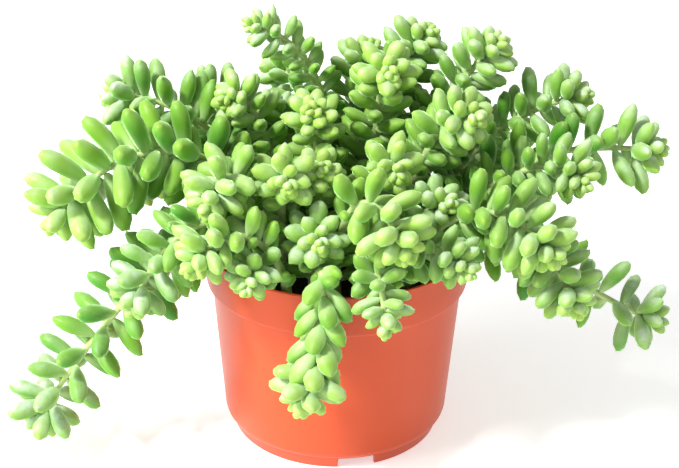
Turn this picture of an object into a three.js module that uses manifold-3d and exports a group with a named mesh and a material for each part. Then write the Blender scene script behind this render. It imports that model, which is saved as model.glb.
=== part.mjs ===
// Potted burro's tail: a thin plastic nursery pot, its potting soil, and trailing stems
// packed with plump leaves. Millimetres, +Z up. The origin is on the ground, on the pot's axis.
import * as THREE from "three";
import { mergeVertices } from "three/addons/utils/BufferGeometryUtils.js";
import Module from "manifold-3d";

const wasm = await Module();
wasm.setup();

// ---------------------------------------------------------------- driving dimensions
const RIM_RADIUS = 65; // a 13 cm pot, measured over the rim
const POT_HEIGHT = 100;
const WALL = 1.5; // moulded wall
const COLLAR_BOTTOM = 79; // the wider band below the rim ends here, in a step
const COLLAR_RADIUS = 63.6;
const BODY_TOP_RADIUS = 61;
const BODY_FOOT_RADIUS = 55.4;
const FOOT_RADIUS = 51; // outside of the foot ring
const FOOT_WIDTH = 2.4;
const FOOT_HEIGHT = 6.4;
const FLOOR_THICKNESS = 1.8;
const DRAINS = 3; // notches through the foot ring, each with a slot in the floor
const DRAIN_WIDTH = 18;
const NOTCH_HEIGHT = 5.4;
const DRAIN_TURN = -78; // azimuth of the first notch, degrees
const POT_SIDES = 36;

const SOIL_TOP = 88;
const SOIL_LUMP = 0.9; // height of the crumbs' swell
const GAP = 0.3; // between pieces that touch
const HOLE_DEPTH = 7; // how deep a stem stands in the soil
const HOLE_SIDES = 6;

const STEM_FOOT_RADIUS = 2.3;
const STEM_TIP_RADIUS = 1.2;
const STEM_SIDES = 4;
const STEM_STEPS = 7;

const LEAF_SIDES = 4;
const SLIM_THICKNESS = 0.88; // thickness over width of a leaf 0.2 slim
const BROAD_LOSS = 2.2; // and how much less that is as the leaf broadens
const LEAF_TURN = 137.5; // the golden angle between one leaf and the next, degrees
const HEAD_LEAVES = 14; // the young leaves, crowded into a rosette at the tip
const HEAD_STEP = 0.75;
const YOUNG_RUN = 12; // leaves reach full size this far from the tip
const OPEN_RUN = 10; // and are spread all the way this far from it
const YOUNG_SHARE = 0.32; // length of the youngest leaf over that of a grown one
const YOUNG_TILT = 12; // a leaf's angle to the stem at the tip, and once grown, degrees
const GROWN_TILT = 78;
const CLOSER = { stem_front_hanging: 38 }; // leaves that lie closer to the stem, by degrees
const CLOSER_FROM = 16; // this far from the tip and more
const CLOSER_RUN = 10;
const SHOWN_EVERY = 3; // every third leaf is a solid here, from the seventh on
const FIRST_SHOWN = 6;
const INNER_FROM = 18; // and only every sixth from here on, inside the crown
const LEAF_CLEARANCE = 0.3; // between leaves of different stems
const LIFT = 0.14; // how much each leaf turns up to the light

// Each stem is a cubic curve from the soil to its tip. In each line: its name, where it leaves
// the soil (x, y), two control points and the tip, then the length of its grown leaves, their half
// width over length, the step from leaf to leaf, and how much of the stem bears leaves, from the tip.
const STEM_START = SOIL_TOP + 3; // they leave the soil straight up
const STEMS = [
  ["stem_left_long", [-34, -8], [-38, -12, 160], [-98, -26, 171], [-129, -36, 123], 27, 0.185, 2.3, 0.95],
  ["stem_left_upper", [-40, 16], [-44, 14, 146], [-76, 12, 167], [-108, 16, 164], 23, 0.2, 2.3, 0.92],
  ["stem_left_facing", [-22, 0], [-27, 2, 138], [-42, 12, 176], [-53, -6, 172], 16, 0.24, 2, 0.9],
  ["stem_top_curled", [-8, 24], [0, 30, 150], [-6, 26, 188], [-43, 20, 200], 14, 0.23, 2.1, 0.9],
  ["stem_middle_upper", [-6, -8], [-8, -6, 132], [-11, -6, 168], [-13, -20, 173], 16, 0.25, 2, 0.9],
  ["stem_middle_lower", [-8, -28], [-9, -28, 120], [-10, -28, 150], [-7, -44, 154], 15, 0.25, 2, 0.9],
  ["stem_top_facing", [12, 6], [16, 10, 146], [21, 16, 186], [23, -4, 186], 19, 0.23, 2, 0.9],
  ["stem_right_facing", [12, -24], [16, -26, 130], [23, -26, 162], [27, -43, 151], 17, 0.24, 2, 0.9],
  ["stem_front_facing", [-24, -34], [-27, -36, 130], [-24, -40, 160], [-22, -58, 152], 17, 0.24, 2, 0.9],
  ["stem_front_left", [-22, -50], [-24, -56, 124], [-46, -60, 142], [-64, -75, 119], 19, 0.24, 2, 0.92],
  ["stem_left_rolled", [-36, -24], [-40, -32, 140], [-48, -46, 168], [-57, -62, 141], 19, 0.23, 2, 0.9],
  ["stem_front_right", [0, -44], [-2, -46, 134], [12, -54, 164], [30, -80, 130], 21, 0.25, 2.7, 0.95],
  ["stem_front_hanging", [-8, -54], [-8, -66, 142], [0, -76, 94], [-15, -88, 56], 19, 0.26, 2.4, 0.92],
  ["stem_front_short", [16, -48], [17, -60, 118], [20, -84, 122], [22, -85, 94], 14, 0.25, 2, 0.88],
  ["stem_left_trailing", [-46, -20], [-54, -30, 138], [-98, -46, 95], [-143, -42, 20], 23, 0.2, 3.1, 0.92],
  ["stem_left_lower", [-40, -36], [-48, -48, 148], [-72, -58, 136], [-93, -58, 91], 19, 0.23, 2.1, 0.9],
  ["stem_right_wide", [32, -38], [38, -44, 136], [74, -46, 150], [96, -68, 123], 21, 0.24, 2, 0.9],
  ["stem_right_low", [42, -30], [52, -36, 140], [94, -38, 128], [110, -58, 92], 19, 0.24, 2, 0.9],
  ["stem_right_trailing", [50, -14], [60, -20, 136], [114, -31, 84], [153, -26, 69], 21, 0.19, 4.2, 0.8],
  ["stem_right_far", [46, 4], [56, 2, 140], [104, 2, 150], [150, -2, 147], 22, 0.2, 3, 0.8],
  ["stem_right_mid_facing", [40, -12], [56, -14, 134], [104, -14, 158], [112, -37, 145], 17, 0.22, 2, 0.85],
  ["stem_upper_facing", [28, -8], [33, -8, 140], [48, -10, 172], [62, -28, 173], 18, 0.24, 2, 0.88],
  ["stem_top_right", [30, 24], [36, 26, 140], [60, 24, 176], [75, 20, 192], 19, 0.23, 2, 0.88],
  ["stem_right_upper", [46, 24], [58, 26, 142], [92, 24, 158], [117, 20, 166], 20, 0.21, 2.2, 0.88],
  ["stem_top_back_right", [18, 34], [20, 38, 150], [30, 42, 180], [43, 38, 190], 19, 0.23, 2, 0.88],
  ["stem_top_back", [2, 38], [2, 42, 146], [10, 44, 170], [16, 42, 181], 18, 0.24, 2, 0.88],
  ["stem_top_left", [-26, 26], [-32, 32, 138], [-52, 42, 158], [-74, 44, 157], 18, 0.23, 2, 0.88],
  ["stem_back_right", [26, 48], [36, 60, 142], [48, 78, 142], [58, 86, 112], 18, 0.24, 2, 0.88],
  ["stem_back_hanging", [-4, 54], [-4, 64, 138], [-8, 93, 112], [2, 82, 58], 17, 0.25, 2.2, 0.88],
  ["stem_back_left", [-26, 44], [-34, 56, 142], [-50, 74, 142], [-64, 82, 108], 18, 0.24, 2, 0.88],
  ["stem_back_left_low", [-44, 32], [-56, 40, 142], [-86, 50, 134], [-106, 54, 96], 18, 0.24, 2, 0.9],
  ["stem_back_right_low", [40, 36], [54, 46, 142], [84, 58, 132], [106, 62, 94], 18, 0.24, 2, 0.88],
  ["stem_back_upper", [-12, 44], [-14, 52, 140], [-22, 66, 164], [-34, 78, 158], 17, 0.24, 2, 0.88],
  ["stem_back_middle", [12, 46], [14, 54, 140], [18, 70, 162], [24, 82, 148], 17, 0.24, 2, 0.88],
  ["stem_inner_left", [-14, -14], [-16, -14, 118], [-24, -20, 138], [-34, -32, 134], 17, 0.24, 2, 0.88],
  ["stem_inner_front", [-11, -41], [-11, -42, 112], [-10, -50, 130], [-8, -65, 127], 17, 0.24, 2, 0.88],
  ["stem_inner_right", [26, -24], [30, -26, 114], [40, -34, 134], [50, -46, 138], 18, 0.24, 2, 0.88],
  ["stem_inner_low_right", [24, -44], [28, -48, 118], [46, -60, 130], [58, -74, 118], 16, 0.24, 2, 0.9],
  ["stem_inner_low_left", [-30, -44], [-32, -50, 114], [-36, -64, 120], [-40, -77, 110], 15, 0.24, 2, 0.9],
  ["stem_inner_back", [-16, 12], [-18, 14, 124], [-24, 20, 150], [-34, 26, 160], 17, 0.24, 2, 0.88],
];

const stems = STEMS.map(([name, foot, first, second, tip, leaf, slimness, step, leafy]) => ({
  name,
  path: [[...foot, STEM_START], first, second, tip],
  leaf,
  slimness,
  step,
  leafy,
  closer: CLOSER[name] ?? 0,
}));


// ---------------------------------------------------------------- small helpers
const radians = THREE.MathUtils.degToRad;
const vector = (x, y, z) => new THREE.Vector3(x, y, z);
const ease = (x) => {
  const t = Math.min(1, Math.max(0, x));
  return t * t * (3 - 2 * t);
};

// A repeatable random number from 0 to 1 on each call.
function randomFrom(seed) {
  let state = seed;
  return () => {
    state = (state * 1664525 + 1013904223) % 4294967296;
    return state / 4294967296;
  };
}

function solidFrom(geometry) {
  const bare = geometry.clone();
  for (const name of Object.keys(bare.attributes)) {
    if (name !== "position") bare.deleteAttribute(name);
  }
  const merged = mergeVertices(bare, 1e-4);
  return new wasm.Manifold(
    new wasm.Mesh({
      numProp: 3,
      vertProperties: new Float32Array(merged.attributes.position.array),
      triVerts: new Uint32Array(merged.index.array),
    }),
  );
}

// The pieces fused into one body: a sealed hollow among the leaves is filled, a loose scrap dropped.
function fused(pieces) {
  const bodies = wasm.Manifold.union(pieces).decompose();
  return bodies.reduce((best, body) => (body.volume() > best.volume() ? body : best));
}

function geometryFrom(solid) {
  const mesh = solid.getMesh();
  const geometry = new THREE.BufferGeometry();
  geometry.setAttribute("position", new THREE.BufferAttribute(mesh.vertProperties, 3));
  geometry.setIndex(new THREE.BufferAttribute(mesh.triVerts, 1));
  geometry.computeVertexNormals();
  return geometry;
}

// A closed skin over rings of points, from one end point to the other.
function skinned(start, rings, end) {
  const sides = rings[0].length;
  const points = [start, ...rings.flat(), end];
  const faces = [];
  const at = (ring, side) => 1 + ring * sides + (side % sides);
  for (let side = 0; side < sides; side++) {
    faces.push(0, at(0, side + 1), at(0, side));
    for (let ring = 0; ring + 1 < rings.length; ring++) {
      faces.push(at(ring, side), at(ring, side + 1), at(ring + 1, side + 1));
      faces.push(at(ring, side), at(ring + 1, side + 1), at(ring + 1, side));
    }
    faces.push(at(rings.length - 1, side), at(rings.length - 1, side + 1), points.length - 1);
  }
  const geometry = new THREE.BufferGeometry().setFromPoints(points);
  geometry.setIndex(faces);
  return geometry;
}

function ring(centre, across, up, halfWidth, halfHeight, sides, turn = 0) {
  return Array.from({ length: sides }, (_, i) => {
    const angle = turn + (2 * Math.PI * i) / sides;
    return centre
      .clone()
      .addScaledVector(across, halfWidth * Math.cos(angle))
      .addScaledVector(up, halfHeight * Math.sin(angle));
  });
}

// ---------------------------------------------------------------- where the stems and leaves go
// Nearest distance between the segments a-b and c-d.
function segmentDistance(a, b, c, d) {
  const u = b.clone().sub(a);
  const v = d.clone().sub(c);
  const w = a.clone().sub(c);
  const uu = u.dot(u);
  const vv = v.dot(v);
  const uv = u.dot(v);
  const uw = u.dot(w);
  const vw = v.dot(w);
  const spread = uu * vv - uv * uv;
  const clamp = (x) => Math.min(1, Math.max(0, x));
  let s = spread > 1e-9 ? clamp((uv * vw - vv * uw) / spread) : 0;
  const t = clamp((uv * s + vw) / vv);
  s = clamp((uv * t - uw) / uu);
  return w.addScaledVector(u, s).addScaledVector(v, -t).length();
}

const WALL_LINE = [
  [FOOT_RADIUS, 0, BODY_FOOT_RADIUS - WALL / 2, 8],
  [BODY_FOOT_RADIUS - WALL / 2, 8, BODY_TOP_RADIUS - WALL / 2, COLLAR_BOTTOM],
  [COLLAR_RADIUS - WALL / 2, COLLAR_BOTTOM, RIM_RADIUS - WALL / 2, POT_HEIGHT],
];

// How far a point is from the pot's wall and, inside the pot, from the soil.
function roomAt(point) {
  const rho = Math.hypot(point.x, point.y);
  let room = point.z;
  for (const [r0, z0, r1, z1] of WALL_LINE) {
    const along = ((rho - r0) * (r1 - r0) + (point.z - z0) * (z1 - z0)) / ((r1 - r0) ** 2 + (z1 - z0) ** 2);
    const t = Math.min(1, Math.max(0, along));
    const off = Math.hypot(rho - r0 - t * (r1 - r0), point.z - z0 - t * (z1 - z0));
    room = Math.min(room, off - WALL / 2);
  }
  if (rho < RIM_RADIUS) room = Math.min(room, point.z - SOIL_TOP - SOIL_LUMP);
  return room;
}

// A stem's centre line, in straight steps as its solid has them: the point at a distance from
// the root, and the smooth curve's direction there.
function centreLine(path) {
  const curve = new THREE.CubicBezierCurve3(...path.map((p) => vector(...p)));
  const points = Array.from({ length: STEM_STEPS + 1 }, (_, i) => curve.getPoint(i / STEM_STEPS));
  const runs = [0];
  for (let i = 1; i <= STEM_STEPS; i++) runs.push(runs[i - 1] + points[i].distanceTo(points[i - 1]));
  const side = vector(curve.v0.y - curve.v3.y, curve.v3.x - curve.v0.x, 0).normalize();
  const at = (run) => {
    let i = 1;
    while (i < STEM_STEPS && runs[i] < run) i++;
    const share = (run - runs[i - 1]) / (runs[i] - runs[i - 1]);
    const along = curve.getTangent(Math.min(1, (i - 1 + share) / STEM_STEPS));
    const across = side.clone().addScaledVector(along, -side.dot(along)).normalize();
    const point = points[i - 1].clone().lerp(points[i], share);
    return { point, along, across, up: along.clone().cross(across) };
  };
  return { at, runs, length: runs[STEM_STEPS] };
}

const stemRadius = (share) => STEM_FOOT_RADIUS + (STEM_TIP_RADIUS - STEM_FOOT_RADIUS) * share;

// A leaf's two stretches, neck and body, as lines with a radius that hold it.
function leafSpans(leaf) {
  const { base, heading, length, halfWidth } = leaf;
  const spot = (share) => base.clone().addScaledVector(heading, length * share);
  const neckEnd = 0.32;
  return [
    { a: spot(neckEnd), b: spot(1 - halfWidth / length), radius: 0.95 * halfWidth },
    { a: spot(0.1), b: spot(neckEnd), radius: 0.55 * halfWidth },
  ];
}

// Ways to move a leaf that has no room: turn about the stem, tilt, and share of its length.
const SHIFTS = [
  [0, 0, 1], [13, 0, 1], [-13, 0, 1], [0, -13, 1], [0, 13, 1], [25, -8, 1], [-25, -8, 1],
  [0, -24, 0.92], [0, 0, 0.82], [20, -10, 0.82], [-20, -10, 0.82], [0, -22, 0.75],
  [0, 0, 0.66], [18, -14, 0.66], [-18, -14, 0.66], [0, -28, 0.58],
];

function placeLeaves() {
  const lines = stems.map((stem) => centreLine(stem.path));
  const taken = []; // every stretch of stem or leaf so far, with the stem it belongs to
  lines.forEach((line, owner) => {
    const stretches = 20;
    for (let i = 0; i < stretches; i++) {
      const a = line.at((line.length * i) / stretches).point;
      const b = line.at((line.length * (i + 1)) / stretches).point;
      taken.push({ owner, a, b, radius: stemRadius(i / stretches) });
    }
  });
  const fits = (leaf, owner) => {
    const spans = leafSpans(leaf);
    for (const span of spans) {
      for (const share of [0, 0.25, 0.5, 0.75, 1]) {
        if (roomAt(span.a.clone().lerp(span.b, share)) < span.radius + LEAF_CLEARANCE) return false;
      }
    }
    return taken.every(
      (other) =>
        other.owner === owner ||
        spans.every((span) => {
          const reach = span.radius + other.radius + LEAF_CLEARANCE;
          return segmentDistance(span.a, span.b, other.a, other.b) >= reach;
        }),
    );
  };
  const draws = stems.map((_, i) => randomFrom(1000 + 77 * i));
  const placed = stems.map(() => []);
  const most = 60;
  for (let rank = 0; rank < most; rank++) {
    stems.forEach((stem, owner) => {
      const line = lines[owner];
      const random = draws[owner];
      const young = Math.min(rank, HEAD_LEAVES);
      const fromTip = 0.6 + HEAD_STEP * young + stem.step * (rank - young);
      const jitter = [random() - 0.5, random() - 0.5, random() - 0.5];
      if (fromTip > line.length * stem.leafy) return;
      const grown = ease(fromTip / YOUNG_RUN);
      const opened = 1 - (1 - Math.min(1, fromTip / OPEN_RUN)) ** 2;
      const grownTilt = GROWN_TILT - stem.closer * ease((fromTip - CLOSER_FROM) / CLOSER_RUN);
      const { point, along, across, up } = line.at(line.length - fromTip);
      for (const [turn, lean, share] of SHIFTS) {
        const angle = radians(LEAF_TURN * rank + 40 * owner + 14 * jitter[0] + turn);
        const spread = (grownTilt - YOUNG_TILT + 12 * jitter[1]) * opened;
        const tilt = radians(YOUNG_TILT + spread + lean);
        const size = YOUNG_SHARE + (1 - YOUNG_SHARE) * grown;
        const length = stem.leaf * size * (1 + 0.16 * jitter[2]) * share;
        const outward = across.clone().multiplyScalar(Math.cos(angle)).addScaledVector(up, Math.sin(angle));
        const heading = along.clone().multiplyScalar(Math.cos(tilt));
        heading.addScaledVector(outward, Math.sin(tilt));
        heading.z += LIFT * grown;
        heading.normalize();
        const halfWidth = stem.slimness * length * (1.3 - 0.3 * grown);
        const thickness = SLIM_THICKNESS - BROAD_LOSS * (stem.slimness - 0.2);
        const leaf = { rank, base: point, heading, along, length, halfWidth, thickness };
        if (!fits(leaf, owner)) continue;
        placed[owner].push(leaf);
        leafSpans(leaf).forEach((span) => taken.push({ owner, ...span }));
        return;
      }
    });
  }
  return { lines, placed };
}

// ---------------------------------------------------------------- solids
function potProfile() {
  const floorUnder = FOOT_HEIGHT;
  const floorTop = FOOT_HEIGHT + FLOOR_THICKNESS;
  return [
    [0, floorUnder],
    [FOOT_RADIUS - FOOT_WIDTH, floorUnder],
    [FOOT_RADIUS - FOOT_WIDTH, 0],
    [FOOT_RADIUS, 0],
    [FOOT_RADIUS + 1, FOOT_HEIGHT],
    [BODY_FOOT_RADIUS - 1.6, FOOT_HEIGHT + 0.7],
    [BODY_FOOT_RADIUS, FOOT_HEIGHT + 4],
    [BODY_TOP_RADIUS, COLLAR_BOTTOM - 1],
    [COLLAR_RADIUS, COLLAR_BOTTOM + 0.6],
    [RIM_RADIUS, POT_HEIGHT],
    [RIM_RADIUS - WALL, POT_HEIGHT],
    [COLLAR_RADIUS - WALL, COLLAR_BOTTOM + 1.4],
    [BODY_TOP_RADIUS - WALL, COLLAR_BOTTOM - 0.2],
    [BODY_FOOT_RADIUS - WALL, FOOT_HEIGHT + 5],
    [BODY_FOOT_RADIUS - WALL - 2.4, floorTop],
    [0, floorTop],
  ];
}

// Turns a profile of [radius, height] points about Z.
function turned(profile, sides) {
  const points = profile.map(([radius, height]) => new THREE.Vector2(radius, height));
  return new THREE.LatheGeometry(points, sides).rotateX(Math.PI / 2);
}

// A notch through the foot ring and a slot through the floor's edge, for one drain.
function drainCutter(azimuth) {
  const reach = 12;
  const notch = new THREE.BoxGeometry(reach, DRAIN_WIDTH, 2 * NOTCH_HEIGHT);
  notch.translate(FOOT_RADIUS, 0, 0);
  const slot = new THREE.BoxGeometry(7, 0.7 * DRAIN_WIDTH, 4 * FLOOR_THICKNESS);
  slot.translate(FOOT_RADIUS - 8, 0, FOOT_HEIGHT);
  return [notch, slot].map((box) => solidFrom(box.rotateZ(radians(azimuth))));
}

function makePot() {
  let pot = solidFrom(turned(potProfile(), POT_SIDES));
  for (let i = 0; i < DRAINS; i++) {
    for (const cutter of drainCutter(DRAIN_TURN + (360 * i) / DRAINS)) pot = pot.subtract(cutter);
  }
  return pot;
}

// Height of the soil's lumpy top.
function soilHeight(x, y) {
  const swell = Math.sin(0.31 * x + 1.3) * Math.cos(0.27 * y - 0.6) + Math.sin(0.17 * x - 0.23 * y);
  return SOIL_TOP + (SOIL_LUMP * swell) / 2;
}

function makeSoil() {
  const inner = (z) => {
    const [z0, z1] = [FOOT_HEIGHT + 5, COLLAR_BOTTOM - 1];
    const share = (z - z0) / (z1 - z0);
    return BODY_FOOT_RADIUS + (BODY_TOP_RADIUS - BODY_FOOT_RADIUS) * share - WALL - 2 * GAP;
  };
  const floorTop = FOOT_HEIGHT + FLOOR_THICKNESS + GAP;
  const edge = inner(COLLAR_BOTTOM - 2);
  const profile = [
    [0, floorTop],
    [BODY_FOOT_RADIUS - WALL - 4, floorTop],
    [inner(FOOT_HEIGHT + 6), FOOT_HEIGHT + 6],
    [edge, COLLAR_BOTTOM - 2],
    [edge + 1, SOIL_TOP],
    [0.72 * edge, SOIL_TOP],
    [0.44 * edge, SOIL_TOP],
    [0.18 * edge, SOIL_TOP],
    [0, SOIL_TOP],
  ];
  const geometry = turned(profile, 24);
  const place = geometry.attributes.position;
  for (let i = 0; i < place.count; i++) {
    if (place.getZ(i) < SOIL_TOP - 0.01) continue;
    place.setZ(i, soilHeight(place.getX(i), place.getY(i)));
  }
  let soil = solidFrom(geometry);
  for (const { path } of stems) {
    const [x, y] = path[0];
    const radius = (STEM_FOOT_RADIUS + GAP) / Math.cos(Math.PI / HOLE_SIDES);
    const hole = new THREE.CylinderGeometry(radius, radius, 2 * (HOLE_DEPTH + GAP), HOLE_SIDES);
    soil = soil.subtract(solidFrom(hole.rotateX(Math.PI / 2).translate(x, y, SOIL_TOP)));
  }
  return soil;
}

function makeStalk(line) {
  const rings = line.runs.map((run) => {
    const { point, across, up } = line.at(run);
    const radius = stemRadius(run / line.length);
    return ring(point, across, up, radius, radius, STEM_SIDES);
  });
  const root = line.at(0);
  const sunk = root.point.clone().setZ(SOIL_TOP - HOLE_DEPTH);
  const level = root.across.clone().setZ(0).normalize();
  const other = vector(0, 0, 1).cross(level);
  rings.unshift(ring(sunk, level, other, STEM_FOOT_RADIUS, STEM_FOOT_RADIUS, STEM_SIDES));
  const tip = line.at(line.length);
  return skinned(sunk, rings, tip.point.clone().addScaledVector(tip.along, STEM_TIP_RADIUS));
}

function makeLeaf(leaf) {
  const { base, heading, along, length, halfWidth, thickness } = leaf;
  const across = along.clone().cross(heading).normalize();
  const up = heading.clone().cross(across);
  const bands = [
    [0.42, 0.95],
    [0.78, 0.86],
  ];
  const rings = bands.map(([share, width]) =>
    ring(
      base.clone().addScaledVector(heading, length * share),
      across,
      up,
      halfWidth * width,
      halfWidth * width * thickness,
      LEAF_SIDES,
      Math.PI / 2,
    ),
  );
  return skinned(base, rings, base.clone().addScaledVector(heading, length));
}

// ---------------------------------------------------------------- the object
const part = new THREE.Group();

function addMesh(name, solid, color, roughness) {
  const material = new THREE.MeshStandardMaterial({ color, roughness, metalness: 0 });
  const mesh = new THREE.Mesh(geometryFrom(solid), material);
  mesh.name = name;
  part.add(mesh);
}

addMesh("pot", makePot(), 0xd9603f, 0.42);
addMesh("soil", makeSoil(), 0x2e2119, 0.95);

const { lines, placed } = placeLeaves();
stems.forEach(({ name }, i) => {
  const shown = placed[i].filter(({ rank }) => {
    const every = rank < INNER_FROM ? SHOWN_EVERY : 2 * SHOWN_EVERY;
    return rank >= FIRST_SHOWN && (rank - FIRST_SHOWN) % every === 0;
  });
  const pieces = [makeStalk(lines[i]), ...shown.map(makeLeaf)].map(solidFrom);
  addMesh(name, fused(pieces), 0x86b84e, 0.5);
});

export default part;
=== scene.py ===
"""A potted burro's tail: a thin coral nursery pot, dark potting soil, and arching and hanging
stems packed with plump leaves.

Lengths are metres, +Z is up and -Y is the front. The origin is on the ground, on the pot's axis.
The growth rule works in millimetres and its results are scaled as they are built.
"""

import math

import bpy
import numpy as np
from mathutils import Matrix, Vector


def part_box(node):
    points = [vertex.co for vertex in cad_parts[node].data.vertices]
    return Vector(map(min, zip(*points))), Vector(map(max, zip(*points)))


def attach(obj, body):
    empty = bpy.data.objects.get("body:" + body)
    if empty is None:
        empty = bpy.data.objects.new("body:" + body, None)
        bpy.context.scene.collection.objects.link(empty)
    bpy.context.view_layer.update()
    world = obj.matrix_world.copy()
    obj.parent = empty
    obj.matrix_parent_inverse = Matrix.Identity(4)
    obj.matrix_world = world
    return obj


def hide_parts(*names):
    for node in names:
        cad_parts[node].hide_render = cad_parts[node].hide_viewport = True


bl_info = {
    "name": "Potted burro's tail",
    "version": (1, 0, 0),
    "blender": (4, 5, 0),
    "location": "View3D > Sidebar > Burro's tail",
    "description": "Builds a trailing succulent in a plastic nursery pot",
    "category": "Add Mesh",
}

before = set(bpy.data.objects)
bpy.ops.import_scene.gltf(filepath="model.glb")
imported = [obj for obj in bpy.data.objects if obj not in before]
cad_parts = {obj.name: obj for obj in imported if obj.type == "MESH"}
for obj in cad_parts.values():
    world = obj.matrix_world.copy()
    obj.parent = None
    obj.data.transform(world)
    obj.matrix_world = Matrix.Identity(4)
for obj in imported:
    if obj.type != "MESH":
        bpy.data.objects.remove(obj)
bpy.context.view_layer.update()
MM = 0.001

# ------------------------------------------------------------------ the plant's stems, in mm
# Where a stem leaves the soil (x, y), two control points and the tip of its curve, the length of
# its grown leaves, their half width over length, the step from leaf to leaf, and how much of the
# stem bears leaves, measured from the tip.
SOIL_TOP = 88.0
STEM_START = SOIL_TOP + 3.0  # where the curve starts, over the soil
STEMS = {
    "left_long": ((-34, -8), (-38, -12, 160), (-98, -26, 171), (-129, -36, 123), 27, 0.185, 2.3, 0.95),
    "left_upper": ((-40, 16), (-44, 14, 146), (-76, 12, 167), (-108, 16, 164), 23, 0.2, 2.3, 0.92),
    "left_facing": ((-22, 0), (-27, 2, 138), (-42, 12, 176), (-53, -6, 172), 16, 0.24, 2, 0.9),
    "top_curled": ((-8, 24), (0, 30, 150), (-6, 26, 188), (-43, 20, 200), 14, 0.23, 2.1, 0.9),
    "middle_upper": ((-6, -8), (-8, -6, 132), (-11, -6, 168), (-13, -20, 173), 16, 0.25, 2, 0.9),
    "middle_lower": ((-8, -28), (-9, -28, 120), (-10, -28, 150), (-7, -44, 154), 15, 0.25, 2, 0.9),
    "top_facing": ((12, 6), (16, 10, 146), (21, 16, 186), (23, -4, 186), 19, 0.23, 2, 0.9),
    "right_facing": ((12, -24), (16, -26, 130), (23, -26, 162), (27, -43, 151), 17, 0.24, 2, 0.9),
    "front_facing": ((-24, -34), (-27, -36, 130), (-24, -40, 160), (-22, -58, 152), 17, 0.24, 2, 0.9),
    "front_left": ((-22, -50), (-24, -56, 124), (-46, -60, 142), (-64, -75, 119), 19, 0.24, 2, 0.92),
    "left_rolled": ((-36, -24), (-40, -32, 140), (-48, -46, 168), (-57, -62, 141), 19, 0.23, 2, 0.9),
    "front_right": ((0, -44), (-2, -46, 134), (12, -54, 164), (30, -80, 130), 21, 0.25, 2.7, 0.95),
    "front_hanging": ((-8, -54), (-8, -66, 142), (0, -76, 94), (-15, -88, 56), 19, 0.26, 2.4, 0.92),
    "front_short": ((16, -48), (17, -60, 118), (20, -84, 122), (22, -85, 94), 14, 0.25, 2, 0.88),
    "left_trailing": ((-46, -20), (-54, -30, 138), (-98, -46, 95), (-143, -42, 20), 23, 0.2, 3.1, 0.92),
    "left_lower": ((-40, -36), (-48, -48, 148), (-72, -58, 136), (-93, -58, 91), 19, 0.23, 2.1, 0.9),
    "right_wide": ((32, -38), (38, -44, 136), (74, -46, 150), (96, -68, 123), 21, 0.24, 2, 0.9),
    "right_low": ((42, -30), (52, -36, 140), (94, -38, 128), (110, -58, 92), 19, 0.24, 2, 0.9),
    "right_trailing": ((50, -14), (60, -20, 136), (114, -31, 84), (153, -26, 69), 21, 0.19, 4.2, 0.8),
    "right_far": ((46, 4), (56, 2, 140), (104, 2, 150), (150, -2, 147), 22, 0.2, 3, 0.8),
    "right_mid_facing": ((40, -12), (56, -14, 134), (104, -14, 158), (112, -37, 145), 17, 0.22, 2, 0.85),
    "upper_facing": ((28, -8), (33, -8, 140), (48, -10, 172), (62, -28, 173), 18, 0.24, 2, 0.88),
    "top_right": ((30, 24), (36, 26, 140), (60, 24, 176), (75, 20, 192), 19, 0.23, 2, 0.88),
    "right_upper": ((46, 24), (58, 26, 142), (92, 24, 158), (117, 20, 166), 20, 0.21, 2.2, 0.88),
    "top_back_right": ((18, 34), (20, 38, 150), (30, 42, 180), (43, 38, 190), 19, 0.23, 2, 0.88),
    "top_back": ((2, 38), (2, 42, 146), (10, 44, 170), (16, 42, 181), 18, 0.24, 2, 0.88),
    "top_left": ((-26, 26), (-32, 32, 138), (-52, 42, 158), (-74, 44, 157), 18, 0.23, 2, 0.88),
    "back_right": ((26, 48), (36, 60, 142), (48, 78, 142), (58, 86, 112), 18, 0.24, 2, 0.88),
    "back_hanging": ((-4, 54), (-4, 64, 138), (-8, 93, 112), (2, 82, 58), 17, 0.25, 2.2, 0.88),
    "back_left": ((-26, 44), (-34, 56, 142), (-50, 74, 142), (-64, 82, 108), 18, 0.24, 2, 0.88),
    "back_left_low": ((-44, 32), (-56, 40, 142), (-86, 50, 134), (-106, 54, 96), 18, 0.24, 2, 0.9),
    "back_right_low": ((40, 36), (54, 46, 142), (84, 58, 132), (106, 62, 94), 18, 0.24, 2, 0.88),
    "back_upper": ((-12, 44), (-14, 52, 140), (-22, 66, 164), (-34, 78, 158), 17, 0.24, 2, 0.88),
    "back_middle": ((12, 46), (14, 54, 140), (18, 70, 162), (24, 82, 148), 17, 0.24, 2, 0.88),
    "inner_left": ((-14, -14), (-16, -14, 118), (-24, -20, 138), (-34, -32, 134), 17, 0.24, 2, 0.88),
    "inner_front": ((-11, -41), (-11, -42, 112), (-10, -50, 130), (-8, -65, 127), 17, 0.24, 2, 0.88),
    "inner_right": ((26, -24), (30, -26, 114), (40, -34, 134), (50, -46, 138), 18, 0.24, 2, 0.88),
    "inner_low_right": ((24, -44), (28, -48, 118), (46, -60, 130), (58, -74, 118), 16, 0.24, 2, 0.9),
    "inner_low_left": ((-30, -44), (-32, -50, 114), (-36, -64, 120), (-40, -77, 110), 15, 0.24, 2, 0.9),
    "inner_back": ((-16, 12), (-18, 14, 124), (-24, 20, 150), (-34, 26, 160), 17, 0.24, 2, 0.88),
}
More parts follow.
